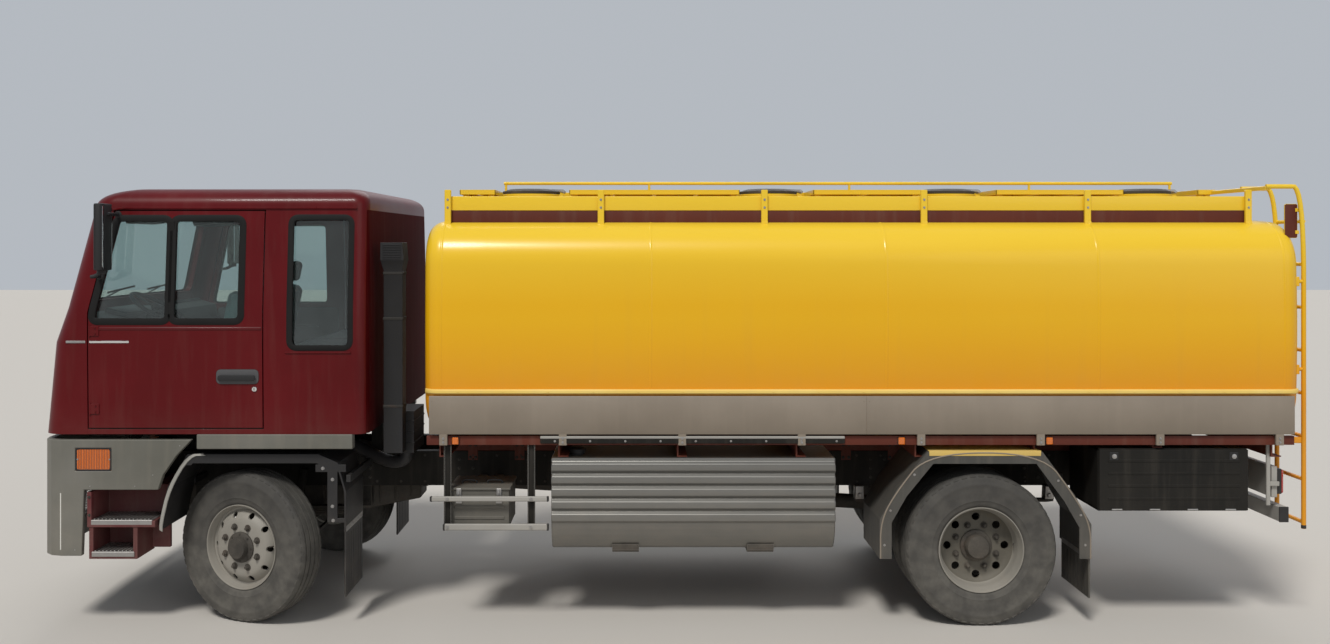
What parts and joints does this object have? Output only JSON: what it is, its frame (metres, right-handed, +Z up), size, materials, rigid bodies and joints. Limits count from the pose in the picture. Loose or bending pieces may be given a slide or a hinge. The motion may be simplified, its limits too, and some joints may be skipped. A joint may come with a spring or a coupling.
{
  "type": "tanker truck",
  "caption": "Two-axle cab-over tanker truck with a rounded box tank, tilting cab, hinged doors and manhole lids, steered front wheels and twin rear wheels.",
  "frame": {"origin": "middle of the footprint, on the ground", "axes": "+Z up, the truck faces -X, its left side is -Y"},
  "size_m": [8.5469, 2.87, 3.05],
  "materials": {
    "cab_red": "gloss paint, dusty low down",
    "cab_trim": "grained moulded trim",
    "grey_paint": "satin grey paint",
    "tank_yellow": "gloss paint",
    "lid_black": "satin paint",
    "frame_paint": "dusty chassis paint",
    "subframe_paint": "red-brown primer",
    "black_plastic": "moulded plastic",
    "step_paint": "satin paint, worn treads",
    "lamp_plastic": "clear and coloured lenses",
    "ribbed_metal": "pressed sheet, dull",
    "battery_grey": "dusty paint",
    "wheel_paint": "silver paint, dusty",
    "tyre_rubber": "dusty rubber",
    "window_glass": "clear, slightly green",
    "seat_cloth": "woven cloth covers"
  },
  "bodies": {
    "chassis": {"chassis_frame": "frame_paint", "tank_subframe": "subframe_paint", "tank_shell": "tank_yellow", "tank_skirts": "grey_paint", "manhole_collars": "tank_yellow", "walkway": "tank_yellow", "top_rails": "tank_yellow", "rear_ladder": "tank_yellow", "rear_bumper": "grey_paint", "rear_lamps": "lamp_plastic", "rear_mudguards": "grey_paint", "front_mudguards": "black_plastic", "step_boxes": "step_paint", "front_bumper": "grey_paint", "front_lamps": "lamp_plastic", "side_tanks": "ribbed_metal", "side_guards": "grey_paint", "battery_box": "battery_grey", "air_tanks": "frame_paint", "air_intake": "black_plastic", "drip_boards": "subframe_paint", "valve_cabinet": "frame_paint", "front_axle": "frame_paint", "rear_axle": "frame_paint", "powertrain": "frame_paint"},
    "cab": {"cab_front": "cab_red", "cab_roof": "cab_red", "cab_rear_wall": "cab_red", "cab_sides": "cab_red", "cab_floor": "cab_trim", "cab_sills": "grey_paint", "cab_glass": "window_glass", "dashboard": "cab_trim", "steering_wheel": "cab_trim", "seats": "seat_cloth"},
    "door_left": {"door_left": "cab_red", "door_glass_left": "window_glass", "mirror_left": "black_plastic"},
    "door_right": {"door_right": "cab_red", "door_glass_right": "window_glass", "mirror_right": "black_plastic"},
    "knuckle_front_left": {"knuckle_front_left": "frame_paint"},
    "knuckle_front_right": {"knuckle_front_right": "frame_paint"},
    "tie_rod": {"tie_rod": "frame_paint"},
    "wheel_front_left": {"tyre_front_left": "tyre_rubber", "rim_front_left": "wheel_paint"},
    "wheel_front_right": {"tyre_front_right": "tyre_rubber", "rim_front_right": "wheel_paint"},
    "wheels_rear_left": {"tyres_rear_left": "tyre_rubber", "rims_rear_left": "wheel_paint"},
    "wheels_rear_right": {"tyres_rear_right": "tyre_rubber", "rims_rear_right": "wheel_paint"},
    "lid_1": {"lid_1": "lid_black"},
    "lid_2": {"lid_2": "lid_black"},
    "lid_3": {"lid_3": "lid_black"},
    "lid_4": {"lid_4": "lid_black"},
    "cabinet_door": {"cabinet_door": "frame_paint"}
  },
  "joints": [
    {"name": "cab_tilt", "type": "hinge", "parent": "chassis", "child": "cab", "pos_m": [-4.13, 0, 0.86], "axis": [0, -1, 0], "range_deg": [0, 45]},
    {"name": "door_left_hinge", "type": "hinge", "parent": "cab", "child": "door_left", "pos_m": [-3.895, -1.226, 1.7], "axis": [0, 0, -1], "range_deg": [0, 68]},
    {"name": "door_right_hinge", "type": "hinge", "parent": "cab", "child": "door_right", "pos_m": [-3.895, 1.226, 1.7], "axis": [0, 0, 1], "range_deg": [0, 68]},
    {"name": "steering_left", "type": "hinge", "parent": "chassis", "child": "knuckle_front_left", "pos_m": [-2.832, -0.85, 0.509], "axis": [0, 0, 1], "range_deg": [-13, 57]},
    {"name": "steering_right", "type": "hinge", "parent": "chassis", "child": "knuckle_front_right", "pos_m": [-2.832, 0.85, 0.509], "axis": [0, 0, 1], "range_deg": [-13, 57]},
    {"name": "tie_rod_pivot", "type": "hinge", "parent": "knuckle_front_left", "child": "tie_rod", "pos_m": [-2.66511, -0.91743, 0.4], "axis": [0, 0, 1], "range_deg": [-57, 13]},
    {"name": "wheel_front_left_spin", "type": "hinge", "parent": "knuckle_front_left", "child": "wheel_front_left", "pos_m": [-2.832, -0.85, 0.509], "axis": [-0.3746, -0.9272, 0], "continuous": true},
    {"name": "wheel_front_right_spin", "type": "hinge", "parent": "knuckle_front_right", "child": "wheel_front_right", "pos_m": [-2.832, 0.85, 0.509], "axis": [-0.3746, -0.9272, 0], "continuous": true},
    {"name": "wheels_rear_left_spin", "type": "hinge", "parent": "chassis", "child": "wheels_rear_left", "pos_m": [2.055, -0.92, 0.509], "axis": [0, -1, 0], "continuous": true},
    {"name": "wheels_rear_right_spin", "type": "hinge", "parent": "chassis", "child": "wheels_rear_right", "pos_m": [2.055, 0.92, 0.509], "axis": [0, -1, 0], "continuous": true},
    {"name": "lid_1_hinge", "type": "hinge", "parent": "chassis", "child": "lid_1", "pos_m": [-0.81, 0, 2.935], "axis": [0, 1, 0], "range_deg": [0, 100]},
    {"name": "lid_2_hinge", "type": "hinge", "parent": "chassis", "child": "lid_2", "pos_m": [0.995, 0, 2.935], "axis": [0, 1, 0], "range_deg": [0, 100]},
    {"name": "lid_3_hinge", "type": "hinge", "parent": "chassis", "child": "lid_3", "pos_m": [2.345, 0, 2.935], "axis": [0, 1, 0], "range_deg": [0, 100]},
    {"name": "lid_4_hinge", "type": "hinge", "parent": "chassis", "child": "lid_4", "pos_m": [3.835, 0, 2.935], "axis": [0, 1, 0], "range_deg": [0, 100]},
    {"name": "cabinet_door_hinge", "type": "hinge", "parent": "chassis", "child": "cabinet_door", "pos_m": [3.335, -1.207, 0.781], "axis": [1, 0, 0], "range_deg": [0, 95]}
  ],
  "couplings": [
    {"joint": "steering_right", "follows": "steering_left", "ratio": 1},
    {"joint": "tie_rod_pivot", "follows": "steering_left", "ratio": -1}
  ]
}
